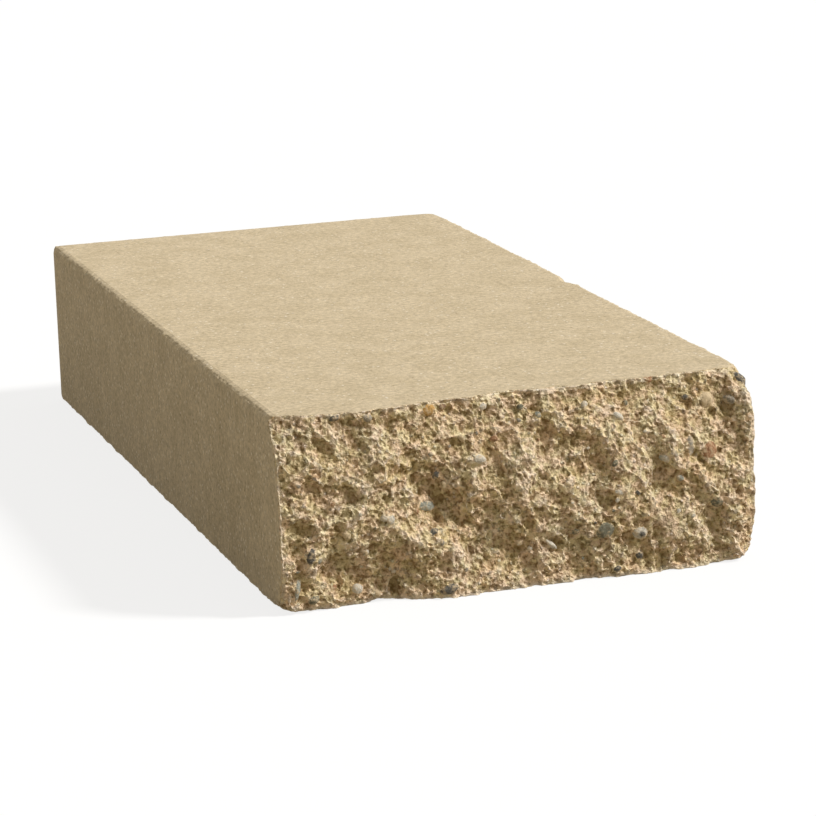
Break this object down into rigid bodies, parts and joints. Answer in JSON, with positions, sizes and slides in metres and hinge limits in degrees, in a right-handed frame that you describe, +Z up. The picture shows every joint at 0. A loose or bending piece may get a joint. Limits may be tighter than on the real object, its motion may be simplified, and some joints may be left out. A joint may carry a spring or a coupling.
{
  "type": "wall cap block",
  "caption": "Solid rectangular concrete cap block for a garden wall, moulded flat on top, bottom, sides and back, with one short end split rough.",
  "frame": {"origin": "middle of the underside, at the middle of the block's width and length", "axes": "+X to the right when facing the split end, +Y along the length from the split end to the moulded back end, +Z up"},
  "size_m": [0.194, 0.397, 0.076],
  "materials": {
    "concrete": "buff dry-cast concrete, fine-grained where moulded, coarse where split"
  },
  "bodies": {
    "root": {"cap_block": "concrete"}
  },
  "joints": []
}
